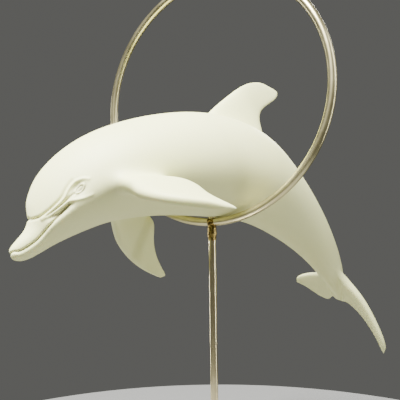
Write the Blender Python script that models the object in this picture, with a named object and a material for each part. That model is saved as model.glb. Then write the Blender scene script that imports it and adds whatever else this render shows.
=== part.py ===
"""A porcelain dolphin that leaps through a wire hoop, carried by a thin stem on a round foot.

The origin is under the middle of the foot, on the stem's axis. +Z is up, the dolphin's head points
to -X and its left side faces -Y. The script works in metres.
"""

import math

import bpy
import bmesh
from mathutils import Matrix, Vector
from mathutils.bvhtree import BVHTree

# Driving dimensions, in metres
DOLPHIN_LENGTH = 0.244
HOOP_OUTSIDE = 0.127
HOOP_WIRE = 0.004
HOOP_TURN = math.radians(-53.5)
STEM_WIRE = 0.0036
STEM_SHOWN = 0.115
BRAZE_WIDTH = 0.0044
BRAZE_LENGTH = 0.0045
FOOT_WIDTH = 0.100
FOOT_THICKNESS = 0.008
FOOT_CHAMFER = 0.0012
BOSS_WIDTH = 0.012
BOSS_HEIGHT = 0.004
STEM_HOLE_DEPTH = 0.006
SEAT_DEPTH = 0.0025
SEAT_CLEARANCE = 0.0004
GAP = 0.0003

# Degrees of the hoop each side of its lowest point that may lie under the belly, and the rounds
# that lower the dolphin on to it
BELLY_REACH = 20
RESTING_ROUNDS = 40

# Heights that follow from them
BOSS_TOP = FOOT_THICKNESS + BOSS_HEIGHT
HOOP_LOW = BOSS_TOP + STEM_SHOWN
HOOP_MIDDLE = HOOP_LOW + HOOP_OUTSIDE / 2
HOOP_RADIUS = (HOOP_OUTSIDE - HOOP_WIRE) / 2

# Mesh density
COLUMNS = 16
SMOOTHING = 3
DOLPHIN_FACES = 6400
HOOP_STEPS = 80
HOOP_SIDES = 12
STEM_SIDES = 24
FOOT_SIDES = 64

# Colours (linear), roughness and metallic value
PORCELAIN = ((0.80, 0.80, 0.70), 0.55, 0.0)
STEEL = ((0.60, 0.55, 0.45), 0.30, 1.0)
DARK_STEEL = ((0.42, 0.40, 0.36), 0.35, 1.0)

# The dolphin's pose along its spine: place, climb towards the tail, turn away from the viewer and
# roll that lifts its left side. Places are hundredths of the length from the beak's tip.
POSE = (
    (0, 32, 0, 15),
    (12, 38, 1, 16),
    (24, 26, 3, 18),
    (34, 11, 5, 18),
    (44, -7, 7, 15),
    (54, -27, 8, 9),
    (64, -38, 10, 2),
    (74, -46, 15, -8),
    (84, -46, 32, -24),
    (92, -40, 56, -43),
    (100, -37, 62, -47),
)

# The place of the spine that stands over the stem
STEM_PLACE = 42.9

# The dolphin's body: place, height above the spine, depth below it and half width, all in
# hundredths of the length.
BODY = (
    (0.0, 0.4, 0.6, 1.1),
    (1.5, 1.4, 1.9, 2.0),
    (3.5, 1.9, 2.2, 2.5),
    (6.0, 3.2, 2.4, 3.0),
    (7.3, 5.9, 2.5, 3.9),
    (9.3, 7.4, 2.8, 5.1),
    (11.6, 8.9, 3.3, 6.1),
    (14.2, 9.7, 4.0, 6.9),
    (18.0, 10.5, 5.0, 7.8),
    (22.8, 10.7, 6.7, 8.7),
    (28.0, 10.4, 8.3, 9.3),
    (34.0, 10.1, 9.7, 9.7),
    (42.0, 10.2, 10.4, 9.8),
    (50.7, 9.8, 9.7, 9.1),
    (59.0, 7.8, 7.8, 7.4),
    (66.4, 6.2, 6.3, 5.7),
    (73.0, 5.0, 4.8, 4.2),
    (78.5, 4.0, 3.7, 3.1),
    (83.5, 3.0, 2.9, 2.3),
    (86.5, 2.3, 2.3, 2.0),
    (89.2, 1.5, 1.5, 1.8),
    (92.0, 0.8, 0.8, 1.6),
    (95.0, 0.4, 0.4, 1.3),
)

# Where the cage's rings lie along the spine
RINGS = (0.3, 1.2, 2.8, 4.6, 6.2, 7.3, 8.8, 11, 13.6, 16.8, 20.4, 22.8, 25.2, 27.6, 31, 34.6, 38.4,
         42.2, 45, 47.8, 50.4, 53, 57, 61.4, 66, 70.6, 75, 79, 82, 84.4, 86.8, 89.2, 91.4, 93.4)

# Each fin's first and last ring, the column of the cage that the paired ones grow from, and the
# sections from root to tip. A section is its distance out, front edge, back edge and thickness, in
# hundredths. The flukes rise by their lift at the tip and arch between, and each one has its
# breadth and reach as shares of the table's.
DORSAL_ROWS = (42.2, 53)
DORSAL = (
    (11.4, 42.6, 53.0, 2.6),
    (14.0, 44.3, 51.7, 2.0),
    (17.0, 46.1, 51.3, 1.7),
    (20.3, 47.7, 52.7, 1.4),
    (22.7, 49.0, 53.5, 1.1),
    (24.2, 50.6, 53.2, 0.8),
)
FLIPPER_ROWS = (20.4, 27.6)
FLIPPER_COLUMN = 5
FLIPPER_ROOT = (8.5, 3.0)
FLIPPER = (
    (3.0, 20.0, 30.0, 3.2),
    (5.0, 19.3, 32.0, 2.6),
    (8.0, 19.5, 30.8, 2.0),
    (11.5, 20.8, 29.9, 1.7),
    (14.6, 24.0, 30.9, 1.4),
    (16.6, 28.6, 32.6, 1.0),
)
FLUKE_ROWS = (82, 93.4)
FLUKE_COLUMN = 4
FLUKE_LIFT = 0.5
FLUKE_ARCH = 0.65
LEFT_FLUKE = (0.85, 1.0)
RIGHT_FLUKE = (1.75, 0.93)
FLUKE = (
    (2.6, 84.2, 93.4, 2.4),
    (4.0, 86.4, 94.0, 2.1),
    (6.0, 88.4, 94.9, 1.8),
    (8.4, 91.0, 96.4, 1.6),
    (11.0, 93.8, 98.2, 1.4),
    (13.2, 96.6, 100.2, 1.2),
    (14.4, 98.8, 101.4, 0.9),
)

# The left flipper's root slopes down the flank: how far in degrees, how many columns of the cage
# it turns on each side, and its share along the body
LEFT_ROOT_TURN = 30
LEFT_ROOT_COLUMNS = 3.5
LEFT_ROOT_SHARE = ((16.8, 0), (20.4, 0.05), (27.6, 1), (31, 0.8), (38.4, 0), (42.2, 0))

# How each flipper hangs, in degrees: droop at its root, further droop for each hundredth of reach
# and the pitch that lowers its back edge. Then how far it lies below its root and behind it.
LEFT_FLIPPER = (24, 0.86, 15, 1.3, 0.4)
RIGHT_FLIPPER = (33, 1.4, 3, 0, 0)

# A fin's thickness from its front edge to its back edge, as shares of its chord and of the
# section's thickness. The flippers have fuller front edges.
FIN_PROFILE = ((0, 0.7), (0.3, 1.0), (0.7, 0.7), (1, 0.3))
FLIPPER_PROFILE = ((0, 1.4), (0.3, 1.2), (0.7, 0.7), (1, 0.3))

# Strokes carved on both sides of the head: half width, height at the start, middle and end, and
# the line's places and heights, in hundredths. A negative height is a groove. A stroke ends at so
# many half widths from its line.
STROKE_REACH = 3
STROKES = {
    "mouth": (0.22, -0.26, -0.32, -0.28,
              ((-2, 0.7), (0.7, 0.0), (2, -0.7), (4.6, -0.85), (7.5, -0.45), (9.6, -0.3), (12.2, 0.1))),
    "lower lip": (0.50, 0.10, 0.16, 0.06,
                  ((-2, 0.0), (0.7, -0.7), (2, -1.4), (4.6, -1.55), (7.5, -1.15), (11, -1.1))),
    "melon crease": (0.26, -0.36, -0.32, -0.12,
                     ((6.1, 3.6), (6.4, 2.7), (7.7, 1.85), (9.6, 1.6), (11.9, 1.75), (13.4, 2.4),
                      (14.9, 2.9))),
    "brow": (0.24, 0.16, 0.26, 0.14,
             ((7.7, 1.55), (9.6, 1.25), (11.2, 1.15), (12.4, 1.35), (13.7, 2.0), (15.1, 2.3),
              (16.3, 1.9), (17.0, 1.2))),
    "eye furrow": (0.22, -0.12, -0.26, -0.16,
                   ((8.6, 1.05), (10.2, 0.92), (12.1, 0.85), (13.9, 0.85))),
    "cheek ridge": (0.26, 0.14, 0.22, 0.08,
                    ((7.6, 1.2), (9.7, 0.65), (11.4, 0.5), (12.6, 0.3), (14.5, -0.7), (16.0, -1.2))),
    "cheek fold": (0.40, -0.18, -0.48, -0.30,
                   ((8.6, 0.55), (9.8, 0.15), (11.2, -0.02), (12.4, -0.12))),
}
EYE = (15.0, 0.95)
EYE_LENGTH = 0.62
EYE_HEIGHT = 0.36
EYE_TILT = math.radians(10)
EYE_BULGE = 0.22
EYE_LID = 0.16
EYE_LID_PLACE = 1.35
EYE_LID_WIDTH = 0.3
EYE_HOLLOW = 0.30
EYE_HOLLOW_REACH = 1.0
FACE = ((-1, 18), (-2.5, 4.5))


def along(table, place):
    """Read a table's row at a place, on a smooth curve through its rows."""
    last = len(table) - 2
    i = max(0, min(last, sum(row[0] <= place for row in table) - 1))
    start, end = table[i], table[i + 1]
    before, after = table[max(i - 1, 0)], table[min(i + 2, last + 1)]
    span = end[0] - start[0]
    t = (place - start[0]) / span
    row = []
    for k in range(1, len(start)):
        slope_in = (end[k] - before[k]) / (end[0] - before[0]) * span
        slope_out = (after[k] - start[k]) / (after[0] - start[0]) * span
        row.append((2 * t**3 - 3 * t**2 + 1) * start[k] + (t**3 - 2 * t**2 + t) * slope_in
                   + (3 * t**2 - 2 * t**3) * end[k] + (t**3 - t**2) * slope_out)
    return row


def spine():
    """Walk along the spine in steps of a hundredth and return each step's place and axes."""
    steps = []
    place = Vector((0, 0, 0))
    for step in range(101):
        climb, turn, roll = (math.radians(angle) for angle in along(POSE, step))
        back = Vector((math.cos(climb) * math.cos(turn), math.cos(climb) * math.sin(turn),
                       math.sin(climb)))
        level = Vector((-math.sin(turn), math.cos(turn), 0))
        upright = back.cross(level)
        side = level * math.cos(roll) - upright * math.sin(roll)
        up = upright * math.cos(roll) + level * math.sin(roll)
        steps.append((place.copy(), back, side, up))
        place += back
    return steps


def posed(steps, point):
    """Bend a point of the straight dolphin along the spine."""
    step = max(0, min(99, math.floor(point.x)))
    part = point.x - step
    a, b = steps[step], steps[step + 1]
    blend = max(0, min(1, part))
    side = a[2].lerp(b[2], blend)
    up = a[3].lerp(b[3], blend)
    return a[0] + a[1].lerp(b[1], blend / 2) * part + side * point.y + up * point.z


def straight_cage():
    """Wrap a grid round the straight spine and grow the fins out of its faces."""
    bm = bmesh.new()
    ring_of = bm.verts.layers.int.new("ring")
    column_of = bm.verts.layers.int.new("column")
    rows = len(RINGS) - 1
    bmesh.ops.create_grid(bm, x_segments=rows, y_segments=COLUMNS, size=0.5)
    left_root = COLUMNS - FLIPPER_COLUMN + 0.5
    # Smoothing draws a ring inwards, so each one starts wider by this limit
    limit = 3 / (2 + math.cos(math.tau / COLUMNS))
    for vert in bm.verts:
        ring = round((vert.co.x + 0.5) * rows)
        column = round((vert.co.y + 0.5) * COLUMNS)
        angle = (column - 0.5) * math.tau / COLUMNS
        if LEFT_ROOT_SHARE[0][0] < RINGS[ring] < LEFT_ROOT_SHARE[-1][0]:
            nearness = max(0, 1 - abs(column - left_root) / LEFT_ROOT_COLUMNS)
            share = along(LEFT_ROOT_SHARE, RINGS[ring])[0] * nearness
            angle -= math.radians(LEFT_ROOT_TURN) * share
        above, below, half = along(BODY, RINGS[ring])
        height = above if math.cos(angle) > 0 else below
        vert[ring_of] = ring
        vert[column_of] = column
        vert.co = (RINGS[ring], limit * half * math.sin(angle), limit * height * math.cos(angle))

    def grow(column, rows, sections, place, side, profile):
        first, last = RINGS.index(rows[0]), RINGS.index(rows[1])
        faces = [face for face in bm.faces
                 if {vert[column_of] for vert in face.verts} == {column, column + 1}
                 and all(first <= vert[ring_of] <= last for vert in face.verts)]
        for out, front, back, thickness in sections:
            grown = bmesh.ops.extrude_face_region(bm, geom=faces)["geom"]
            bmesh.ops.delete(bm, geom=faces, context="FACES")
            faces = [item for item in grown if isinstance(item, bmesh.types.BMFace)]
            for vert in (item for item in grown if isinstance(item, bmesh.types.BMVert)):
                share = (vert[ring_of] - first) / (last - first)
                half = along(profile, share)[0] * thickness / 2
                upper = -side if vert[column_of] > column else side
                x, y, z = place(front + (back - front) * share, out, upper * half)
                vert.co = (x, side * y, z)

    def dorsal(x, out, half):
        return x, -half, out

    def flipper(droop, curl, pitch, drop, back):
        def place(x, out, half):
            hang = math.radians(droop + curl * out)
            tilt = math.radians(pitch) * min(1, out / FLIPPER[1][0])
            behind = x - FLIPPER_ROWS[0]
            lift = half - behind * math.sin(tilt)
            return (FLIPPER_ROWS[0] + back + behind * math.cos(tilt),
                    FLIPPER_ROOT[0] + out * math.cos(hang) + lift * math.sin(hang),
                    -FLIPPER_ROOT[1] - drop - out * math.sin(hang) + lift * math.cos(hang))
        return place

    def fluke(breadth, reach):
        def place(x, out, half):
            share = out / FLUKE[-1][0]
            front = along([section[:2] for section in FLUKE], out)[0]
            widened = front + (x - front) * (1 + (breadth - 1) * math.sin(math.pi * share))
            rise = FLUKE_LIFT * share + FLUKE_ARCH * math.sin(math.pi * share)
            return widened, out * reach, rise + half
        return place

    grow(0, DORSAL_ROWS, DORSAL, dorsal, 1, FIN_PROFILE)
    for column, side, pose in ((FLIPPER_COLUMN, 1, RIGHT_FLIPPER),
                               (COLUMNS - FLIPPER_COLUMN, -1, LEFT_FLIPPER)):
        grow(column, FLIPPER_ROWS, FLIPPER, flipper(*pose), side, FLIPPER_PROFILE)
    for column, side, shape in ((FLUKE_COLUMN, 1, RIGHT_FLUKE), (COLUMNS - FLUKE_COLUMN, -1, LEFT_FLUKE)):
        grow(column, FLUKE_ROWS, FLUKE, fluke(*shape), side, FIN_PROFILE)

    bmesh.ops.remove_doubles(bm, verts=bm.verts, dist=0.001)
    ends = [edge for edge in bm.edges if edge.is_boundary]
    bmesh.ops.edgeloop_fill(bm, edges=ends)
    bmesh.ops.recalc_face_normals(bm, faces=bm.faces)
    return bm


def with_modifier(bm, kind, **settings):
    """Run a bmesh through one modifier and return the result."""
    mesh = bpy.data.meshes.new("work")
    bm.to_mesh(mesh)
    bm.free()
    work = bpy.data.objects.new("work", mesh)
    bpy.context.scene.collection.objects.link(work)
    modifier = work.modifiers.new(kind.lower(), kind)
    for name, value in settings.items():
        setattr(modifier, name, value)
    result = bmesh.new()
    result.from_mesh(work.evaluated_get(bpy.context.evaluated_depsgraph_get()).data)
    bpy.data.objects.remove(work)
    return result


def curve(points, steps=6):
    """Return a smooth curve through points as short straight pieces."""
    numbered = [(i, *point) for i, point in enumerate(points)]
    return [Vector(along(numbered, i / steps)) for i in range((len(points) - 1) * steps + 1)]


def stroke_height(point, line, half_width, start, middle, end):
    """Return how far a stroke raises the skin at a point."""
    nearest, share = math.inf, 0
    for i, (a, b) in enumerate(zip(line, line[1:])):
        step = b - a
        t = max(0, min(1, (point - a).dot(step) / step.length_squared))
        distance = (point - a - step * t).length
        if distance < nearest:
            nearest, share = distance, (i + t) / (len(line) - 1)
    if nearest > STROKE_REACH * half_width:
        return 0
    height = along(((0, start), (0.5, middle), (1, end)), share)[0]
    return height * math.exp(-(nearest / half_width)**2)


def eye_height(point):
    """Return the eyeball's swell, its lids and the hollow round it."""
    offset = point - Vector(EYE)
    offset.rotate(Matrix.Rotation(-EYE_TILT, 2))
    distance = math.hypot(offset.x / EYE_LENGTH, offset.y / EYE_HEIGHT)
    hollow = -EYE_HOLLOW * math.exp(-(offset.length / EYE_HOLLOW_REACH)**2)
    ball = EYE_BULGE * math.sqrt(1 - distance**2) if distance < 1 else 0
    return hollow + ball + EYE_LID * math.exp(-((distance - EYE_LID_PLACE) / EYE_LID_WIDTH)**2)


def carve(bm):
    """Refine the face and carve its strokes and eyes on both sides."""
    (front, back), (low, high) = FACE
    face = [edge for edge in bm.edges
            if all(front < v.co.x < back and low < v.co.z < high for v in edge.verts)]
    bmesh.ops.subdivide_edges(bm, edges=face, cuts=1, use_grid_fill=True)
    bm.normal_update()
    strokes = [(curve(points), half_width, start, middle, end)
               for half_width, start, middle, end, points in STROKES.values()]
    moves = []
    for vert in bm.verts:
        if vert.co.x < back:
            point = Vector((vert.co.x, vert.co.z))
            rise = sum(stroke_height(point, *stroke) for stroke in strokes) + eye_height(point)
            moves.append((vert, vert.normal * rise))
    for vert, move in moves:
        vert.co += move


def rest_on_hoop(bm):
    """Lower the dolphin over the stem until its belly lies a gap above the hoop's wire."""
    along_hoop = Vector((math.cos(HOOP_TURN), math.sin(HOOP_TURN), 0))
    wire = []
    for degree in range(-BELLY_REACH, BELLY_REACH + 1):
        angle = math.radians(degree)
        wire.append(Vector((0, 0, HOOP_MIDDLE)) + along_hoop * HOOP_RADIUS * math.sin(angle)
                    - Vector((0, 0, HOOP_RADIUS * math.cos(angle))))
    height = DOLPHIN_LENGTH
    tree = BVHTree.FromBMesh(bm)
    for _ in range(RESTING_ROUNDS):
        clear = min(tree.find_nearest(point - Vector((0, 0, height)))[3] for point in wire)
        height -= clear - HOOP_WIRE / 2 - GAP
    bmesh.ops.translate(bm, verts=bm.verts, vec=(0, 0, height))


def belly_over_stem(bm):
    """Return the height of the belly on the stem's axis."""
    return BVHTree.FromBMesh(bm).ray_cast(Vector((0, 0, HOOP_LOW)), Vector((0, 0, 1)))[0].z


def turned(profile, sides):
    """Spin a profile of radius and height round the vertical axis."""
    bm = bmesh.new()
    verts = [bm.verts.new((radius, 0, height)) for radius, height in profile]
    edges = [bm.edges.new(pair) for pair in zip(verts, verts[1:])]
    bmesh.ops.spin(bm, geom=verts + edges, axis=(0, 0, 1), cent=(0, 0, 0), steps=sides,
                   angle=math.tau, use_merge=True)
    bmesh.ops.remove_doubles(bm, verts=bm.verts, dist=0.00001)
    bmesh.ops.recalc_face_normals(bm, faces=bm.faces)
    return bm


def new_object(name, bm, finish, crease=180):
    """Make an object and its material from a bmesh."""
    mesh = bpy.data.meshes.new(name)
    bm.to_mesh(mesh)
    bm.free()
    mesh.shade_smooth()
    mesh.set_sharp_from_angle(angle=math.radians(crease))
    piece = bpy.data.objects.new(name, mesh)
    bpy.context.scene.collection.objects.link(piece)
    colour, roughness, metallic = finish
    material = bpy.data.materials.new(name)
    material.use_nodes = True
    shader = material.node_tree.nodes["Principled BSDF"]
    shader.inputs["Base Color"].default_value = (*colour, 1)
    shader.inputs["Roughness"].default_value = roughness
    shader.inputs["Metallic"].default_value = metallic
    mesh.materials.append(material)
    return piece


def dolphin():
    """Cast the dolphin, rest it on the hoop and cut the stem's seat in its belly."""
    bm = with_modifier(straight_cage(), "SUBSURF", levels=SMOOTHING, render_levels=SMOOTHING)
    carve(bm)
    steps = spine()
    over_stem = posed(steps, Vector((STEM_PLACE, 0, 0)))
    for vert in bm.verts:
        vert.co = (posed(steps, vert.co) - over_stem) * DOLPHIN_LENGTH / 100
    bmesh.ops.triangulate(bm, faces=bm.faces)
    bm = with_modifier(bm, "DECIMATE", ratio=DOLPHIN_FACES / len(bm.faces))
    rest_on_hoop(bm)
    belly = belly_over_stem(bm)
    piece = new_object("dolphin", bm, PORCELAIN)

    drill = turned(((0, HOOP_LOW), (STEM_WIRE / 2 + SEAT_CLEARANCE, HOOP_LOW),
                    (STEM_WIRE / 2 + SEAT_CLEARANCE, belly + SEAT_DEPTH),
                    (0, belly + SEAT_DEPTH)), STEM_SIDES)
    cutter = new_object("stem_seat_cutter", drill, PORCELAIN)
    cutter.hide_render = True
    cutter.display_type = "WIRE"
    seat = piece.modifiers.new("stem seat", "BOOLEAN")
    seat.operation = "DIFFERENCE"
    seat.object = cutter
    return belly


def hoop():
    """Bend the hoop's wire round to both sides of the stem."""
    opening = math.asin((BRAZE_WIDTH / 2 + GAP) / (HOOP_RADIUS - HOOP_WIRE / 2))
    bm = bmesh.new()
    bmesh.ops.create_circle(bm, cap_ends=True, segments=HOOP_SIDES, radius=HOOP_WIRE / 2,
                            matrix=Matrix.Translation((0, 0, -HOOP_RADIUS))
                            @ Matrix.Rotation(math.pi / 2, 4, "Y"))
    bmesh.ops.rotate(bm, verts=bm.verts, matrix=Matrix.Rotation(opening, 3, "Y"))
    bmesh.ops.spin(bm, geom=bm.faces, axis=(0, 1, 0), cent=(0, 0, 0), steps=HOOP_STEPS,
                   angle=math.tau - 2 * opening)
    bmesh.ops.recalc_face_normals(bm, faces=bm.faces)
    bmesh.ops.rotate(bm, verts=bm.verts, matrix=Matrix.Rotation(HOOP_TURN, 3, "Z"))
    bmesh.ops.translate(bm, verts=bm.verts, vec=(0, 0, HOOP_MIDDLE))
    new_object("hoop", bm, STEEL, 60)


def stem(belly):
    """Turn the stem, with the braze that swells it between the hoop's ends."""
    wire = STEM_WIRE / 2
    braze_top = HOOP_LOW + HOOP_WIRE - 2 * GAP
    bm = turned(((0, BOSS_TOP - STEM_HOLE_DEPTH + GAP), (wire, BOSS_TOP - STEM_HOLE_DEPTH + GAP),
                 (wire, HOOP_LOW - BRAZE_LENGTH), (BRAZE_WIDTH / 2, HOOP_LOW),
                 (BRAZE_WIDTH / 2, braze_top), (wire, braze_top + GAP),
                 (wire, belly + SEAT_DEPTH - GAP), (0, belly + SEAT_DEPTH - GAP)), STEM_SIDES)
    new_object("stem", bm, STEEL, 40)


def foot():
    """Turn the foot: a low disc with a boss that takes the stem."""
    hole = STEM_WIRE / 2 + GAP
    bm = turned(((0, 0), (FOOT_WIDTH / 2 - FOOT_CHAMFER, 0), (FOOT_WIDTH / 2, FOOT_CHAMFER),
                 (FOOT_WIDTH / 2, FOOT_THICKNESS - FOOT_CHAMFER),
                 (FOOT_WIDTH / 2 - FOOT_CHAMFER, FOOT_THICKNESS),
                 (BOSS_WIDTH / 2, FOOT_THICKNESS), (BOSS_WIDTH / 2, BOSS_TOP - FOOT_CHAMFER / 2),
                 (BOSS_WIDTH / 2 - FOOT_CHAMFER / 2, BOSS_TOP), (hole, BOSS_TOP),
                 (hole, BOSS_TOP - STEM_HOLE_DEPTH), (0, BOSS_TOP - STEM_HOLE_DEPTH)), FOOT_SIDES)
    new_object("foot", bm, DARK_STEEL, 30)


for item in list(bpy.data.objects):
    bpy.data.objects.remove(item)
stem(dolphin())
hoop()
foot()
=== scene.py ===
"""A leaping bisque dolphin resting in a wire hoop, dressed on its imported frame."""
import math

import bmesh
import bpy
from mathutils import Matrix, Vector, noise
from mathutils.bvhtree import BVHTree
from mathutils.kdtree import KDTree


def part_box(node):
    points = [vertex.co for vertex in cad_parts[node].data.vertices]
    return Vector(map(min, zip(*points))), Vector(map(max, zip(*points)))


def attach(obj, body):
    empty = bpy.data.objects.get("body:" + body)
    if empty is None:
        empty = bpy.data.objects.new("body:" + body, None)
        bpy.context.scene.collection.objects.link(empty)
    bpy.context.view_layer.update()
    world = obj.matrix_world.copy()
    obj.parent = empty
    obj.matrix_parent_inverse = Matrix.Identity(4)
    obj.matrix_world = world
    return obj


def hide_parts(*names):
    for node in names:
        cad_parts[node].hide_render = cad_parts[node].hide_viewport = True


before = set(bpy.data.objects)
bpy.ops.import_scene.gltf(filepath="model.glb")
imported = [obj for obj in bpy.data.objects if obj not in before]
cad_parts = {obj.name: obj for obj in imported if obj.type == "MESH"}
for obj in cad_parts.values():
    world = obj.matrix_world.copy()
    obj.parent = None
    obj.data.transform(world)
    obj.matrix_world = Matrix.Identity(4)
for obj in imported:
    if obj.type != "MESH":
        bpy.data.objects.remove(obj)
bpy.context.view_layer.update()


# The foot is a low disc of mild steel, turned on a lathe and left satin. It stands on the shelf by
# its own weight, and the stem is pressed into the blind hole of its boss.
foot_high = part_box("foot")[1]
FOOT_RADIUS = foot_high.x
FOOT_THICKNESS = 0.008
FOOT_EDGE = 0.0012
BOSS_RADIUS = 0.006
BOSS_EDGE = 0.0006
HOLE_RADIUS = 0.0021
HOLE_DEPTH = 0.006
FOOT_STEPS = 160
MERGE_REACH = 0.000005
RIM_REACH = 0.00001
TOOL_MARK = 0.0005
TOOL_DEPTH = 0.00002
HAND_PATCH = 0.014


def linear(code):
    """Turn an sRGB hex colour into the linear colour that shaders take."""
    shares = [int(code[i:i + 2], 16) / 255 for i in (0, 2, 4)]
    return [s / 12.92 if s <= 0.04045 else ((s + 0.055) / 1.055)**2.4 for s in shares] + [1]


def new_material(name, **sockets):
    """Make a material and set its Principled shader's own sockets."""
    material = bpy.data.materials.new(name)
    material.use_nodes = True
    for socket, value in sockets.items():
        material.node_tree.nodes["Principled BSDF"].inputs[socket.replace("_", " ")].default_value = value
    return material


def add(material, kind, links, **settings):
    """Add a node to a material: its settings, then the sockets that feed it and that it feeds."""
    tree = material.node_tree
    node = tree.nodes.new(kind)
    for name, value in settings.items():
        if hasattr(node, name):
            setattr(node, name, value)
        else:
            node.inputs[name.replace("_", " ")].default_value = value
    for socket, source in links.items():
        tree.links.new(source, node.inputs[socket])
    return node


def feed(material, socket, source):
    """Link a node's output to the Principled shader."""
    material.node_tree.links.new(source, material.node_tree.nodes["Principled BSDF"].inputs[socket])


def turned(profile, steps):
    """Spin a profile of radius and height round the vertical axis."""
    bm = bmesh.new()
    verts = [bm.verts.new((radius, 0, height)) for radius, height in profile]
    edges = [bm.edges.new(pair) for pair in zip(verts, verts[1:])]
    bmesh.ops.spin(bm, geom=verts + edges, axis=(0, 0, 1), cent=(0, 0, 0), steps=steps,
                   angle=math.tau, use_merge=True)
    bmesh.ops.remove_doubles(bm, verts=bm.verts, dist=MERGE_REACH)
    bmesh.ops.recalc_face_normals(bm, faces=bm.faces)
    return bm


def finished(name, bm, material, crease):
    """Make a bmesh a piece of the object, smooth up to the crease angle."""
    mesh = bpy.data.meshes.new(name)
    bm.to_mesh(mesh)
    bm.free()
    mesh.shade_smooth()
    mesh.set_sharp_from_angle(angle=math.radians(crease))
    mesh.materials.append(material)
    piece = bpy.data.objects.new(name, mesh)
    bpy.context.scene.collection.objects.link(piece)
    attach(piece, "root")
    return piece


def lathe_rings(material, spacing, depth):
    """Add the fine concentric tool marks that a lathe leaves on a face.

    The wave node counts twenty radians to a unit, which sets the scale for a spacing.
    """
    place = add(material, "ShaderNodeTexCoord", {})
    rings = add(material, "ShaderNodeTexWave", {"Vector": place.outputs["Object"]},
                wave_type="RINGS", rings_direction="Z", Scale=math.tau / 20 / spacing, Distortion=0.6,
                Detail=2.0, Detail_Scale=1.5)
    marks = add(material, "ShaderNodeBump", {"Height": rings.outputs["Fac"]},
                Strength=0.25, Distance=depth)
    feed(material, "Normal", marks.outputs["Normal"])


# Turned steel: tool marks half a millimetre apart draw the highlight out round the disc, and
# darker and lighter patches show where hands have been.
turned_steel = new_material("turned satin steel", Metallic=1.0, Roughness=0.34)
lathe_rings(turned_steel, TOOL_MARK, TOOL_DEPTH)
patches = add(turned_steel, "ShaderNodeTexNoise",
              {"Vector": add(turned_steel, "ShaderNodeTexCoord", {}).outputs["Object"]},
              Scale=1 / HAND_PATCH, Detail=4, Roughness=0.55)
tones = add(turned_steel, "ShaderNodeMix", {"Factor": patches.outputs["Fac"]}, data_type="RGBA")
tones.inputs["A"].default_value = linear("8E8A82")
tones.inputs["B"].default_value = linear("A8A398")
feed(turned_steel, "Base Color", tones.outputs["Result"])

boss_top = foot_high.z
shell = turned(((0, 0), (FOOT_RADIUS, 0), (FOOT_RADIUS, FOOT_THICKNESS), (BOSS_RADIUS, FOOT_THICKNESS),
                (BOSS_RADIUS, boss_top), (HOLE_RADIUS, boss_top), (HOLE_RADIUS, boss_top - HOLE_DEPTH),
                (0, boss_top - HOLE_DEPTH)), FOOT_STEPS)
for radius, height, width in ((FOOT_RADIUS, 0, FOOT_EDGE), (FOOT_RADIUS, FOOT_THICKNESS, FOOT_EDGE),
                              (BOSS_RADIUS, boss_top, BOSS_EDGE)):
    rim = [edge for edge in shell.edges
           if all(math.dist((v.co.xy.length, v.co.z), (radius, height)) < RIM_REACH for v in edge.verts)]
    bmesh.ops.bevel(shell, geom=rim, offset=width, segments=3, profile=0.5, affect="EDGES", material=-1)
foot = finished("turned_foot", shell, turned_steel, 30)
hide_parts("foot")


# The stem is a straight length of satin drawn wire. Its lower end sits in the foot, and its upper
# end passes between the hoop's ends into a shallow seat in the dolphin's belly.
stem_low, stem_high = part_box("stem")
STEM_RADIUS = 0.0018
STEM_EDGE = 0.0002
STEM_STEPS = 48
SCRATCH_WIDTH = 0.0004
SCRATCH_DEPTH = 0.00002
BLOTCH = 0.009


def drawn_steel(name, light, dark, stretch, gloss):
    """Make satin drawn wire: a champagne tone in two shades, with fine scratches.

    A small stretch along one axis draws the scratches out that way. They soften the highlight
    into a band, as on the photo's hoop.
    """
    material = new_material(name, Metallic=1.0)
    place = add(material, "ShaderNodeTexCoord", {})
    stretched = add(material, "ShaderNodeMapping", {"Vector": place.outputs["Object"]})
    stretched.inputs["Scale"].default_value = stretch
    scratches = add(material, "ShaderNodeTexNoise", {"Vector": stretched.outputs["Vector"]},
                    Scale=1 / SCRATCH_WIDTH, Detail=3, Roughness=0.6)
    scratch_bump = add(material, "ShaderNodeBump", {"Height": scratches.outputs["Fac"]},
                       Strength=0.05, Distance=SCRATCH_DEPTH)
    feed(material, "Normal", scratch_bump.outputs["Normal"])
    blotches = add(material, "ShaderNodeTexNoise", {"Vector": place.outputs["Object"]},
                   Scale=1 / BLOTCH, Detail=4, Roughness=0.6)
    colour = add(material, "ShaderNodeMix", {"Factor": blotches.outputs["Fac"]}, data_type="RGBA")
    colour.inputs["A"].default_value = linear(dark)
    colour.inputs["B"].default_value = linear(light)
    feed(material, "Base Color", colour.outputs["Result"])
    haze = add(material, "ShaderNodeMapRange", {"Value": blotches.outputs["Fac"]})
    haze.inputs["To Min"].default_value, haze.inputs["To Max"].default_value = gloss
    feed(material, "Roughness", haze.outputs["Result"])
    return material


# Straight drawn wire: long scratches up the rod keep its highlights in narrow upright bands.
stem_steel = drawn_steel("satin champagne steel, straight", "FAF0C4", "DECC98", (1, 1, 0.03), (0.20, 0.28))
rod = turned(((0, stem_low.z), (STEM_RADIUS - STEM_EDGE, stem_low.z), (STEM_RADIUS, stem_low.z + STEM_EDGE),
              (STEM_RADIUS, stem_high.z - STEM_EDGE), (STEM_RADIUS - STEM_EDGE, stem_high.z),
              (0, stem_high.z)), STEM_STEPS)
stem = finished("stem_rod", rod, stem_steel, 40)
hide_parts("stem")


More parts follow.
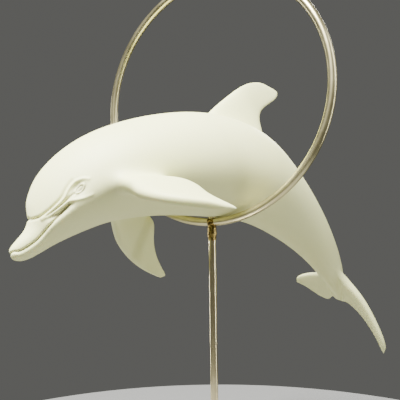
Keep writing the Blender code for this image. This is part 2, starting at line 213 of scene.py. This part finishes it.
# The hoop is one length of 4 mm satin wire bent round a former. Its two ends meet at the stem,
# where they are brazed. It stands turned on the stem, so that the dolphin passes through aslant.
hoop_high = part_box("hoop")[1]
HOOP_OUTSIDE = 0.127
HOOP_TURN = math.radians(-53.5)
WIRE_RADIUS = 0.002
HOOP_STEPS = 360
WIRE_SIDES = 32
hoop_radius = HOOP_OUTSIDE / 2 - WIRE_RADIUS
hoop_middle = hoop_high.z - HOOP_OUTSIDE / 2

# Bent drawn wire: a shade darker and hazier than the stem, with marks that run no one way, so its
# highlight fades in and out round the ring.
hoop_steel = drawn_steel("satin champagne steel, bent", "ECE4B4", "BAAF80", (0.2, 0.2, 0.2), (0.26, 0.36))
ring = bmesh.new()
lowest_section = Matrix.Translation((0, 0, -hoop_radius)) @ Matrix.Rotation(math.pi / 2, 4, "Y")
bmesh.ops.create_circle(ring, segments=WIRE_SIDES, radius=WIRE_RADIUS, matrix=lowest_section)
bmesh.ops.spin(ring, geom=ring.verts[:] + ring.edges[:], axis=(0, 1, 0), cent=(0, 0, 0),
               steps=HOOP_STEPS, angle=math.tau, use_merge=True)
bmesh.ops.remove_doubles(ring, verts=ring.verts, dist=MERGE_REACH)
bmesh.ops.recalc_face_normals(ring, faces=ring.faces)
bmesh.ops.rotate(ring, verts=ring.verts, matrix=Matrix.Rotation(HOOP_TURN, 3, "Z"))
bmesh.ops.translate(ring, verts=ring.verts, vec=(0, 0, hoop_middle))
hoop = finished("hoop_wire", ring, hoop_steel, 60)
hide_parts("hoop")


# The braze is a fillet of brass run round the joint while it was hot. It wets the wire and the
# stem, thins out along both, and is left as it froze: golden brown, lumpy and specked.
BRAZE_RADIUS = 0.00215
BRAZE_UP = 0.0022
BRAZE_DOWN = 0.0120
BRAZE_ALONG = 0.0036
BRAZE_LUMP = 0.00012
BRAZE_LUMP_WIDTH = 0.0014
BRAZE_GRAIN = 0.00016
BRAZE_SPECK = 0.0011
BRAZE_SKIN = 0.00015
# The painted shade under the belly: how far down from the joint it reaches, and how much it darkens the
# braze at the top
BELLY_SHADE_REACH = BRAZE_DOWN * 0.6
BELLY_SHADE_SHARE = 0.10
braze_middle = Vector((0, 0, hoop_middle - hoop_radius))

# How much each finer layer of lumps weighs, how much finer it is, and how many layers there are
LUMP_LAYERS = (0.6, 2.0, 3)


def with_modifier(bm, kind, **settings):
    """Run a bmesh through one modifier and return the result."""
    mesh = bpy.data.meshes.new("work")
    bm.to_mesh(mesh)
    bm.free()
    work = bpy.data.objects.new("work", mesh)
    bpy.context.scene.collection.objects.link(work)
    modifier = work.modifiers.new(kind.lower(), kind)
    for name, value in settings.items():
        setattr(modifier, name, value)
    result = bmesh.new()
    result.from_mesh(work.evaluated_get(bpy.context.evaluated_depsgraph_get()).data)
    bpy.data.objects.remove(work)
    return result


def relax(bm, verts):
    """Move each vertex halfway to the middle of its neighbours."""
    bmesh.ops.smooth_vert(bm, verts=verts, factor=0.5, use_axis_x=True, use_axis_y=True,
                          use_axis_z=True)


# Brass braze: warm gold where it is bright, brown where flux and heat have dulled it, with specks that
# catch the light. Towards its top, under the hoop and the belly, it carries a painted shade.
brass_braze = new_material("brass braze", Metallic=1.0)
braze_place = add(brass_braze, "ShaderNodeTexCoord", {})
dulling = add(brass_braze, "ShaderNodeTexNoise", {"Vector": braze_place.outputs["Object"]},
              Scale=1 / BRAZE_SPECK, Detail=5, Roughness=0.65)
height = add(brass_braze, "ShaderNodeSeparateXYZ", {"Vector": braze_place.outputs["Object"]})
# Painted shade: the braze grows darker towards its top, under the hoop and the belly
belly_shade = add(brass_braze, "ShaderNodeMapRange", {"Value": height.outputs["Z"]})
belly_shade.inputs["From Min"].default_value = braze_middle.z - BELLY_SHADE_REACH
belly_shade.inputs["From Max"].default_value = braze_middle.z
belly_shade.inputs["To Max"].default_value = BELLY_SHADE_SHARE
bright = add(brass_braze, "ShaderNodeMath",
             {0: dulling.outputs["Fac"], 1: belly_shade.outputs["Result"]}, operation="SUBTRACT")
braze_tones = add(brass_braze, "ShaderNodeValToRGB", {"Fac": bright.outputs["Value"]})
braze_tones.color_ramp.elements[0].position = 0.38
braze_tones.color_ramp.elements[0].color = linear("54421F")
braze_tones.color_ramp.elements[1].position = 0.62
braze_tones.color_ramp.elements[1].color = linear("E8CC7C")
feed(brass_braze, "Base Color", braze_tones.outputs["Color"])
braze_gloss = add(brass_braze, "ShaderNodeMapRange", {"Value": dulling.outputs["Fac"]})
braze_gloss.inputs["To Min"].default_value = 0.55
braze_gloss.inputs["To Max"].default_value = 0.2
feed(brass_braze, "Roughness", braze_gloss.outputs["Result"])
braze_skin = add(brass_braze, "ShaderNodeBump", {"Height": dulling.outputs["Fac"]},
                 Strength=0.5, Distance=BRAZE_SKIN)
feed(brass_braze, "Normal", braze_skin.outputs["Normal"])

fillet = bmesh.new()
bmesh.ops.create_icosphere(fillet, subdivisions=4, radius=1)
upright = Matrix.Diagonal((BRAZE_RADIUS, BRAZE_RADIUS, (BRAZE_UP + BRAZE_DOWN) / 2))
bmesh.ops.transform(fillet, verts=fillet.verts, matrix=Matrix.Translation(
    braze_middle + Vector((0, 0, (BRAZE_UP - BRAZE_DOWN) / 2))) @ upright.to_4x4())
level = bmesh.ops.create_icosphere(fillet, subdivisions=4, radius=1)["verts"]
flat = Matrix.Diagonal((BRAZE_ALONG, BRAZE_RADIUS + BRAZE_GRAIN, BRAZE_RADIUS + BRAZE_GRAIN))
bmesh.ops.transform(fillet, verts=level, matrix=Matrix.Translation(braze_middle)
                    @ (Matrix.Rotation(HOOP_TURN, 3, "Z") @ flat).to_4x4())
fillet = with_modifier(fillet, "REMESH", mode="VOXEL", voxel_size=BRAZE_GRAIN)
relax(fillet, fillet.verts)
for vert in fillet.verts:
    lump = noise.fractal(vert.co / BRAZE_LUMP_WIDTH, *LUMP_LAYERS)
    vert.co += vert.normal * lump * BRAZE_LUMP
finished("brass_braze", fillet, brass_braze, 80)


# The dolphin is slip-cast porcelain, fettled, sponged smooth, its face sharpened with a tool while
# the clay was soft, and fired without glaze. Its belly rests on the hoop's lowest arc, and the
# stem's end in its seat stops it from sliding. Its forms are in hundredths of its own length.
dolphin_low, dolphin_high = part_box("dolphin")
SEAT_RADIUS = 0.0022
SEAT_DEPTH = 0.0025
COLUMNS = 16
SMOOTHING = 3
CAGE_MERGE = 0.001
FACE_CUTS = 2
FACE_ROUNDS = 3
SPINE_STEPS = 100
CLOUD = 0.036
SPONGE_MARK = 0.006
SPONGE_DEPTH = 0.0002
TOOTH = 0.0004
TOOTH_DEPTH = 0.00003

# How deep a carved line is where its painted shade and dust start to show and where they show in full, in
# hundredths of the length, and the share of their colour that the line then has
DUST_AND_SHADE_START = -0.05
DUST_AND_SHADE_FULL = -0.45
DUST_AND_SHADE_SHARE = 0.6

# The dolphin's pose along its spine: place, climb towards the tail, turn away from the viewer and
# roll that lifts its left side. Places are hundredths of the length from the beak's tip.
POSE = (
    (0, 32, 0, 15),
    (12, 38, 1, 16),
    (24, 26, 3, 18),
    (34, 11, 5, 18),
    (44, -7, 7, 15),
    (54, -27, 8, 9),
    (64, -38, 10, 2),
    (74, -46, 15, -8),
    (84, -46, 32, -24),
    (92, -40, 56, -43),
    (100, -37, 62, -47),
)

# The dolphin's body: place, height above the spine, depth below it and half width, all in
# hundredths of the length.
BODY = (
    (0.0, 0.4, 0.6, 1.1),
    (1.5, 1.4, 1.9, 2.0),
    (3.5, 1.9, 2.2, 2.5),
    (6.0, 3.2, 2.4, 3.0),
    (7.3, 5.9, 2.5, 3.9),
    (9.3, 7.4, 2.8, 5.1),
    (11.6, 8.9, 3.3, 6.1),
    (14.2, 9.7, 4.0, 6.9),
    (18.0, 10.5, 5.0, 7.8),
    (22.8, 10.7, 6.7, 8.7),
    (28.0, 10.4, 8.3, 9.3),
    (34.0, 10.1, 9.7, 9.7),
    (42.0, 10.2, 10.4, 9.8),
    (50.7, 9.8, 9.7, 9.1),
    (59.0, 7.8, 7.8, 7.4),
    (66.4, 6.2, 6.3, 5.7),
    (73.0, 5.0, 4.8, 4.2),
    (78.5, 4.0, 3.7, 3.1),
    (83.5, 3.0, 2.9, 2.3),
    (86.5, 2.3, 2.3, 2.0),
    (89.2, 1.5, 1.5, 1.8),
    (92.0, 0.8, 0.8, 1.6),
    (95.0, 0.4, 0.4, 1.3),
)

# Where the cage's rings lie along the spine
RINGS = (0.3, 1.2, 2.8, 4.6, 6.2, 7.3, 8.8, 11, 13.6, 16.8, 20.4, 22.8, 25.2, 27.6, 31, 34.6, 38.4,
         42.2, 45, 47.8, 50.4, 53, 57, 61.4, 66, 70.6, 75, 79, 82, 84.4, 86.8, 89.2, 91.4, 93.4)

# Each fin's first and last ring, the column of the cage that the paired ones grow from, and the
# sections from root to tip. A section is its distance out, front edge, back edge and thickness, in
# hundredths. The flukes rise by their lift at the tip and arch between, and each one has its
# breadth and reach as shares of the table's.
DORSAL_ROWS = (42.2, 53)
DORSAL = (
    (11.4, 42.6, 53.0, 2.6),
    (14.0, 44.3, 51.7, 2.0),
    (17.0, 46.1, 51.3, 1.7),
    (20.3, 47.7, 52.7, 1.4),
    (22.7, 49.0, 53.5, 1.1),
    (24.2, 50.6, 53.2, 0.8),
)
FLIPPER_ROWS = (20.4, 27.6)
FLIPPER_COLUMN = 5
FLIPPER_ROOT = (8.5, 3.0)
FLIPPER = (
    (3.0, 20.0, 30.0, 3.2),
    (5.0, 19.3, 32.0, 2.6),
    (8.0, 19.5, 30.8, 2.0),
    (11.5, 20.8, 29.9, 1.7),
    (14.6, 24.0, 30.9, 1.4),
    (16.6, 28.6, 32.6, 1.0),
)
FLUKE_ROWS = (82, 93.4)
FLUKE_COLUMN = 4
FLUKE_LIFT = 0.5
FLUKE_ARCH = 0.65
LEFT_FLUKE = (0.85, 1.0)
RIGHT_FLUKE = (1.75, 0.93)
FLUKE = (
    (2.6, 84.2, 93.4, 2.4),
    (4.0, 86.4, 94.0, 2.1),
    (6.0, 88.4, 94.9, 1.8),
    (8.4, 91.0, 96.4, 1.6),
    (11.0, 93.8, 98.2, 1.4),
    (13.2, 96.6, 100.2, 1.2),
    (14.4, 98.8, 101.4, 0.9),
)

# The left flipper's root slopes down the flank: how far in degrees, how many columns of the cage
# it turns on each side, and its share along the body
LEFT_ROOT_TURN = 30
LEFT_ROOT_COLUMNS = 3.5
LEFT_ROOT_SHARE = ((16.8, 0), (20.4, 0.05), (27.6, 1), (31, 0.8), (38.4, 0), (42.2, 0))

# How each flipper hangs, in degrees: droop at its root, further droop for each hundredth of reach
# and the pitch that lowers its back edge. Then how far it lies below its root and behind it.
LEFT_FLIPPER = (24, 0.86, 15, 1.3, 0.4)
RIGHT_FLIPPER = (33, 1.4, 3, 0, 0)

# A fin's thickness from its front edge to its back edge, as shares of its chord and of the
# section's thickness. The flippers have fuller front edges.
FIN_PROFILE = ((0, 0.7), (0.3, 1.0), (0.7, 0.7), (1, 0.3))
FLIPPER_PROFILE = ((0, 1.4), (0.3, 1.2), (0.7, 0.7), (1, 0.3))

# Strokes carved on both sides of the head: half width, height at the start, middle and end, and
# the line's places and heights, in hundredths. A negative height is a groove. A stroke ends at so
# many half widths from its line.
STROKE_REACH = 3
STROKES = {
    "mouth": (0.22, -0.26, -0.32, -0.28,
              ((-2, 0.7), (0.7, 0.0), (2, -0.7), (4.6, -0.85), (7.5, -0.45), (9.6, -0.3), (12.2, 0.1))),
    "lower lip": (0.50, 0.10, 0.16, 0.06,
                  ((-2, 0.0), (0.7, -0.7), (2, -1.4), (4.6, -1.55), (7.5, -1.15), (11, -1.1))),
    "melon crease": (0.26, -0.36, -0.32, -0.12,
                     ((6.1, 3.6), (6.4, 2.7), (7.7, 1.85), (9.6, 1.6), (11.9, 1.75), (13.4, 2.4),
                      (14.9, 2.9))),
    "brow": (0.24, 0.16, 0.26, 0.14,
             ((7.7, 1.55), (9.6, 1.25), (11.2, 1.15), (12.4, 1.35), (13.7, 2.0), (15.1, 2.3),
              (16.3, 1.9), (17.0, 1.2))),
    "eye furrow": (0.22, -0.12, -0.26, -0.16,
                   ((8.6, 1.05), (10.2, 0.92), (12.1, 0.85), (13.9, 0.85))),
    "cheek ridge": (0.26, 0.14, 0.22, 0.08,
                    ((7.6, 1.2), (9.7, 0.65), (11.4, 0.5), (12.6, 0.3), (14.5, -0.7), (16.0, -1.2))),
    "cheek fold": (0.52, -0.20, -0.52, -0.34,
                   ((8.6, 0.55), (9.8, 0.15), (11.2, -0.02), (12.4, -0.12))),
}

# The eye: its place, half length, half height and tilt, how far the ball and the lids rise, and how
# deep and wide the hollow is, in hundredths. The lids' place and width are shares of the ball.
EYE = (15.0, 0.95)
EYE_LENGTH = 0.62
EYE_HEIGHT = 0.36
EYE_TILT = math.radians(10)
EYE_BULGE = 0.30
EYE_LID = 0.26
EYE_LID_PLACE = 1.35
EYE_LID_WIDTH = 0.3
EYE_HOLLOW = 0.62
EYE_HOLLOW_REACH = 1.0

# The two areas of the head with fine carving: first place, last place, lowest and highest. All
# strokes end before the head does.
FACE = ((-1, 5.5, -1.7, 1.2), (5.5, 17.4, -1.7, 4.0))
HEAD_END = 18


def along(table, place):
    """Read a table's row at a place, on a smooth curve through its rows."""
    last = len(table) - 2
    i = max(0, min(last, sum(row[0] <= place for row in table) - 1))
    start, end = table[i], table[i + 1]
    before, after = table[max(i - 1, 0)], table[min(i + 2, last + 1)]
    span = end[0] - start[0]
    t = (place - start[0]) / span
    row = []
    for k in range(1, len(start)):
        slope_in = (end[k] - before[k]) / (end[0] - before[0]) * span
        slope_out = (after[k] - start[k]) / (after[0] - start[0]) * span
        row.append((2 * t**3 - 3 * t**2 + 1) * start[k] + (t**3 - 2 * t**2 + t) * slope_in
                   + (3 * t**2 - 2 * t**3) * end[k] + (t**3 - t**2) * slope_out)
    return row


def spine():
    """Walk along the spine in steps of a hundredth and return each step's place and axes."""
    steps = []
    place = Vector((0, 0, 0))
    for step in range(SPINE_STEPS + 1):
        climb, turn, roll = (math.radians(angle) for angle in along(POSE, step))
        back = Vector((math.cos(climb) * math.cos(turn), math.cos(climb) * math.sin(turn),
                       math.sin(climb)))
        level = Vector((-math.sin(turn), math.cos(turn), 0))
        upright = back.cross(level)
        side = level * math.cos(roll) - upright * math.sin(roll)
        up = upright * math.cos(roll) + level * math.sin(roll)
        steps.append((place.copy(), back, side, up))
        place += back
    return steps


def posed(steps, point):
    """Bend a point of the straight dolphin along the spine."""
    step = max(0, min(SPINE_STEPS - 1, math.floor(point.x)))
    part = point.x - step
    a, b = steps[step], steps[step + 1]
    blend = max(0, min(1, part))
    side = a[2].lerp(b[2], blend)
    up = a[3].lerp(b[3], blend)
    return a[0] + a[1].lerp(b[1], blend / 2) * part + side * point.y + up * point.z


def straight_cage():
    """Wrap a grid round the straight spine and grow the fins out of its faces."""
    bm = bmesh.new()
    ring_of = bm.verts.layers.int.new("ring")
    column_of = bm.verts.layers.int.new("column")
    rows = len(RINGS) - 1
    bmesh.ops.create_grid(bm, x_segments=rows, y_segments=COLUMNS, size=0.5)
    # The left flipper grows between two columns of vertices
    left_root = COLUMNS - FLIPPER_COLUMN + 0.5
    # Smoothing draws a ring inwards, so each one starts wider by this limit
    limit = 3 / (2 + math.cos(math.tau / COLUMNS))
    for vert in bm.verts:
        ring = round((vert.co.x + 0.5) * rows)
        column = round((vert.co.y + 0.5) * COLUMNS)
        angle = (column - 0.5) * math.tau / COLUMNS
        if LEFT_ROOT_SHARE[0][0] < RINGS[ring] < LEFT_ROOT_SHARE[-1][0]:
            nearness = max(0, 1 - abs(column - left_root) / LEFT_ROOT_COLUMNS)
            share = along(LEFT_ROOT_SHARE, RINGS[ring])[0] * nearness
            angle -= math.radians(LEFT_ROOT_TURN) * share
        above, below, half = along(BODY, RINGS[ring])
        height = above if math.cos(angle) > 0 else below
        vert[ring_of] = ring
        vert[column_of] = column
        vert.co = (RINGS[ring], limit * half * math.sin(angle), limit * height * math.cos(angle))

    def grow(column, rows, sections, place, side, profile):
        first, last = RINGS.index(rows[0]), RINGS.index(rows[1])
        faces = [face for face in bm.faces
                 if {vert[column_of] for vert in face.verts} == {column, column + 1}
                 and all(first <= vert[ring_of] <= last for vert in face.verts)]
        for out, front, back, thickness in sections:
            grown = bmesh.ops.extrude_face_region(bm, geom=faces)["geom"]
            bmesh.ops.delete(bm, geom=faces, context="FACES")
            faces = [item for item in grown if isinstance(item, bmesh.types.BMFace)]
            for vert in (item for item in grown if isinstance(item, bmesh.types.BMVert)):
                share = (vert[ring_of] - first) / (last - first)
                half = along(profile, share)[0] * thickness / 2
                upper = -side if vert[column_of] > column else side
                x, y, z = place(front + (back - front) * share, out, upper * half)
                vert.co = (x, side * y, z)

    def dorsal(x, out, half):
        return x, -half, out

    def flipper(droop, curl, pitch, drop, back):
        def place(x, out, half):
            hang = math.radians(droop + curl * out)
            tilt = math.radians(pitch) * min(1, out / FLIPPER[1][0])
            behind = x - FLIPPER_ROWS[0]
            lift = half - behind * math.sin(tilt)
            return (FLIPPER_ROWS[0] + back + behind * math.cos(tilt),
                    FLIPPER_ROOT[0] + out * math.cos(hang) + lift * math.sin(hang),
                    -FLIPPER_ROOT[1] - drop - out * math.sin(hang) + lift * math.cos(hang))
        return place

    def fluke(breadth, reach):
        def place(x, out, half):
            share = out / FLUKE[-1][0]
            front = along([section[:2] for section in FLUKE], out)[0]
            widened = front + (x - front) * (1 + (breadth - 1) * math.sin(math.pi * share))
            rise = FLUKE_LIFT * share + FLUKE_ARCH * math.sin(math.pi * share)
            return widened, out * reach, rise + half
        return place

    grow(0, DORSAL_ROWS, DORSAL, dorsal, 1, FIN_PROFILE)
    for column, side, pose in ((FLIPPER_COLUMN, 1, RIGHT_FLIPPER),
                               (COLUMNS - FLIPPER_COLUMN, -1, LEFT_FLIPPER)):
        grow(column, FLIPPER_ROWS, FLIPPER, flipper(*pose), side, FLIPPER_PROFILE)
    for column, side, shape in ((FLUKE_COLUMN, 1, RIGHT_FLUKE), (COLUMNS - FLUKE_COLUMN, -1, LEFT_FLUKE)):
        grow(column, FLUKE_ROWS, FLUKE, fluke(*shape), side, FIN_PROFILE)

    bmesh.ops.remove_doubles(bm, verts=bm.verts, dist=CAGE_MERGE)
    ends = [edge for edge in bm.edges if edge.is_boundary]
    bmesh.ops.edgeloop_fill(bm, edges=ends)
    bmesh.ops.recalc_face_normals(bm, faces=bm.faces)
    return bm


def curve(points, steps=40):
    """Return a tree of close points along a smooth curve, with how many there are."""
    numbered = [(i, *point) for i, point in enumerate(points)]
    count = (len(points) - 1) * steps + 1
    tree = KDTree(count)
    for i in range(count):
        tree.insert((*along(numbered, i / steps), 0), i)
    tree.balance()
    return tree, count


def stroke_height(point, line, half_width, start, middle, end):
    """Return how far a stroke raises the skin at a point."""
    tree, count = line
    index, distance = tree.find(point)[1:]
    if distance > STROKE_REACH * half_width:
        return 0
    height = along(((0, start), (0.5, middle), (1, end)), index / (count - 1))[0]
    return height * math.exp(-(distance / half_width)**2)


def eye_height(point):
    """Return the eyeball's swell, its lids and the hollow round it."""
    offset = Vector((point.x - EYE[0], point.y - EYE[1]))
    offset.rotate(Matrix.Rotation(-EYE_TILT, 2))
    distance = math.hypot(offset.x / EYE_LENGTH, offset.y / EYE_HEIGHT)
    hollow = -EYE_HOLLOW * math.exp(-(offset.length / EYE_HOLLOW_REACH)**2)
    ball = EYE_BULGE * math.sqrt(1 - distance**2) if distance < 1 else 0
    return hollow + ball + EYE_LID * math.exp(-((distance - EYE_LID_PLACE) / EYE_LID_WIDTH)**2)


def carve(bm):
    """Refine the face and carve its strokes and eyes on both sides."""
    carved_verts = {vert for vert in bm.verts for front, back, low, high in FACE
                    if front < vert.co.x <= back and low < vert.co.z < high}
    face = [edge for edge in bm.edges if carved_verts.issuperset(edge.verts)]
    cut = bmesh.ops.subdivide_edges(bm, edges=face, cuts=FACE_CUTS, use_grid_fill=True)
    fine = [item for item in cut["geom_inner"] if isinstance(item, bmesh.types.BMVert)]
    for _ in range(FACE_ROUNDS):
        relax(bm, fine)
    bm.normal_update()
    strokes = [(curve(points), half_width, start, middle, end)
               for half_width, start, middle, end, points in STROKES.values()]
    carved = bm.verts.layers.float.new("carved")
    for vert in bm.verts:
        if vert.co.x < HEAD_END:
            point = Vector((vert.co.x, vert.co.z, 0))
            vert[carved] = (sum(stroke_height(point, *stroke) for stroke in strokes)
                            + eye_height(point))
    for vert, normal in [(vert, vert.normal.copy()) for vert in bm.verts]:
        vert.co += normal * vert[carved]


# Bisque porcelain: a warm white, matte and slightly translucent, so that fins and edges glow and shadows
# stay soft. The tool's lines are darkened grey-brown, partly with a little dust and partly with painted
# shade, and the skin has a very fine tooth.
bisque = new_material("bisque porcelain", Roughness=0.55, Subsurface_Weight=0.12,
                      Subsurface_Radius=(1.0, 0.85, 0.6), Subsurface_Scale=0.004)
bisque_place = add(bisque, "ShaderNodeTexCoord", {})
clouds = add(bisque, "ShaderNodeTexNoise", {"Vector": bisque_place.outputs["Object"]},
             Scale=1 / CLOUD, Detail=3, Roughness=0.5)
body_tone = add(bisque, "ShaderNodeMix", {"Factor": clouds.outputs["Fac"]}, data_type="RGBA")
body_tone.inputs["A"].default_value = linear("E8EAA6")
body_tone.inputs["B"].default_value = linear("F0F2B6")
lines = add(bisque, "ShaderNodeAttribute", {}, attribute_name="carved")
# Painted shade in the carved grooves, with a little dust: the deeper the line, the more grey-brown it turns
dust_and_shade = add(bisque, "ShaderNodeMapRange", {"Value": lines.outputs["Fac"]})
dust_and_shade.inputs["From Min"].default_value = DUST_AND_SHADE_START
dust_and_shade.inputs["From Max"].default_value = DUST_AND_SHADE_FULL
dust_and_shade.inputs["To Max"].default_value = DUST_AND_SHADE_SHARE
skin = add(bisque, "ShaderNodeMix", {"Factor": dust_and_shade.outputs["Result"], "A": body_tone.outputs["Result"]},
           data_type="RGBA")
skin.inputs["B"].default_value = linear("9A957A")
feed(bisque, "Base Color", skin.outputs["Result"])
tooth = add(bisque, "ShaderNodeTexNoise", {"Vector": bisque_place.outputs["Object"]},
            Scale=1 / TOOTH, Detail=2, Roughness=0.5)
sponged = add(bisque, "ShaderNodeTexNoise", {"Vector": bisque_place.outputs["Object"]},
              Scale=1 / SPONGE_MARK, Detail=2, Roughness=0.4)
tooth_bump = add(bisque, "ShaderNodeBump", {"Height": tooth.outputs["Fac"]},
                 Strength=0.15, Distance=TOOTH_DEPTH)
sponge_bump = add(bisque, "ShaderNodeBump",
                  {"Height": sponged.outputs["Fac"], "Normal": tooth_bump.outputs["Normal"]},
                  Strength=0.12, Distance=SPONGE_DEPTH)
feed(bisque, "Normal", sponge_bump.outputs["Normal"])

body = with_modifier(straight_cage(), "SUBSURF", levels=SMOOTHING, render_levels=SMOOTHING)
carve(body)
steps = spine()
for vert in body.verts:
    vert.co = posed(steps, vert.co)
lowest = Vector([min(vert.co[k] for vert in body.verts) for k in range(3)])
highest = Vector([max(vert.co[k] for vert in body.verts) for k in range(3)])
hundredth = (dolphin_high - dolphin_low).length / (highest - lowest).length
cast_middle = (lowest + highest) / 2 * hundredth
box_middle = (dolphin_low + dolphin_high) / 2
body.transform(Matrix.Translation(box_middle - cast_middle) @ Matrix.Scale(hundredth, 4))

belly = BVHTree.FromBMesh(body).ray_cast(braze_middle, Vector((0, 0, 1)))[0].z
drill = turned(((0, braze_middle.z), (SEAT_RADIUS, braze_middle.z), (SEAT_RADIUS, belly + SEAT_DEPTH),
                (0, belly + SEAT_DEPTH)), STEM_STEPS)
drill_mesh = bpy.data.meshes.new("seat drill")
drill.to_mesh(drill_mesh)
drill.free()
seat_drill = bpy.data.objects.new("seat_drill", drill_mesh)
bpy.context.scene.collection.objects.link(seat_drill)
body = with_modifier(body, "BOOLEAN", operation="DIFFERENCE", solver="EXACT", object=seat_drill)
bpy.data.objects.remove(seat_drill)
dolphin = finished("porcelain_dolphin", body, bisque, 180)
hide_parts("dolphin")


# The studio: a plain pale floor, a large soft light above and to the left of the camera, a weaker
# one on the right, and one behind that draws the outline. Two upright strips put the bright edges
# on the wires.
FLOOR_RADIUS = 0.22
FLOOR_STEPS = 96
FLOOR_TONES = ("6E6E6B", "757572")
WORLD_TONE = "A4A4A0"
WORLD_STRENGTH = 0.30

# Each light's name, place, width, height and watts. All of them point at the dolphin.
LIGHTS = (
    ("key light", (-0.42, -0.30, 0.92), 0.40, 0.40, 64),
    ("fill light", (0.55, -0.60, 0.60), 0.50, 0.50, 3),
    ("back light", (0.50, 0.50, 0.55), 0.30, 0.30, 4),
    ("right strip", (0.62, -0.42, 0.16), 0.06, 0.60, 1.4),
    ("left strip", (-0.50, 0.66, 0.16), 0.06, 0.60, 2.4),
)
LIGHT_AIM = Vector((0, 0, 0.16))

floor_bm = bmesh.new()
bmesh.ops.create_circle(floor_bm, cap_ends=True, segments=FLOOR_STEPS, radius=FLOOR_RADIUS)
floor_mesh = bpy.data.meshes.new("floor")
floor_bm.to_mesh(floor_mesh)
floor_bm.free()

# Painted board: matte, in two shades of grey so close that it looks plain and pale in this light.
pale_floor = new_material("pale painted board", Roughness=0.7)
grain = add(pale_floor, "ShaderNodeTexNoise",
            {"Vector": add(pale_floor, "ShaderNodeTexCoord", {}).outputs["Object"]}, Scale=6, Detail=2)
floor_tones = add(pale_floor, "ShaderNodeMix", {"Factor": grain.outputs["Fac"]}, data_type="RGBA")
floor_tones.inputs["A"].default_value = linear(FLOOR_TONES[0])
floor_tones.inputs["B"].default_value = linear(FLOOR_TONES[1])
feed(pale_floor, "Base Color", floor_tones.outputs["Result"])
floor_mesh.materials.append(pale_floor)
floor = bpy.data.objects.new("floor", floor_mesh)
bpy.context.scene.collection.objects.link(floor)

world = bpy.data.worlds.new("studio")
world.use_nodes = True
surround = world.node_tree.nodes["Background"]
surround.inputs["Color"].default_value = linear(WORLD_TONE)
surround.inputs["Strength"].default_value = WORLD_STRENGTH
bpy.context.scene.world = world

for name, place, width, height, power in LIGHTS:
    light = bpy.data.lights.new(name, "AREA")
    light.shape = "ELLIPSE"
    light.size = width
    light.size_y = height
    light.energy = power
    lamp = bpy.data.objects.new(name, light)
    lamp.location = place
    lamp.visible_camera = False
    lamp.rotation_euler = (LIGHT_AIM - Vector(place)).to_track_quat("-Z", "Y").to_euler()
    bpy.context.scene.collection.objects.link(lamp)

# The camera stands low in front of the dolphin's left side and looks a little upwards.
CAMERA_TURN = math.radians(-22)
CAMERA_PITCH = math.radians(5.4)
CAMERA_ROLL = math.radians(-0.68)
CAMERA_FROM_HOOP = Vector((-0.1030, -0.2399, -0.0755))
CAMERA_LENS = 48.735
CAMERA_NEAR = 0.01
camera_data = bpy.data.cameras.new("camera")
camera_data.lens = CAMERA_LENS
camera_data.clip_start = CAMERA_NEAR
camera = bpy.data.objects.new("camera", camera_data)
camera.matrix_world = (Matrix.Translation(Vector((0, 0, hoop_middle)) + CAMERA_FROM_HOOP)
                       @ Matrix.Rotation(CAMERA_TURN, 4, "Z")
                       @ Matrix.Rotation(math.pi / 2 + CAMERA_PITCH, 4, "X")
                       @ Matrix.Rotation(CAMERA_ROLL, 4, "Z"))
bpy.context.scene.collection.objects.link(camera)
bpy.context.scene.camera = camera
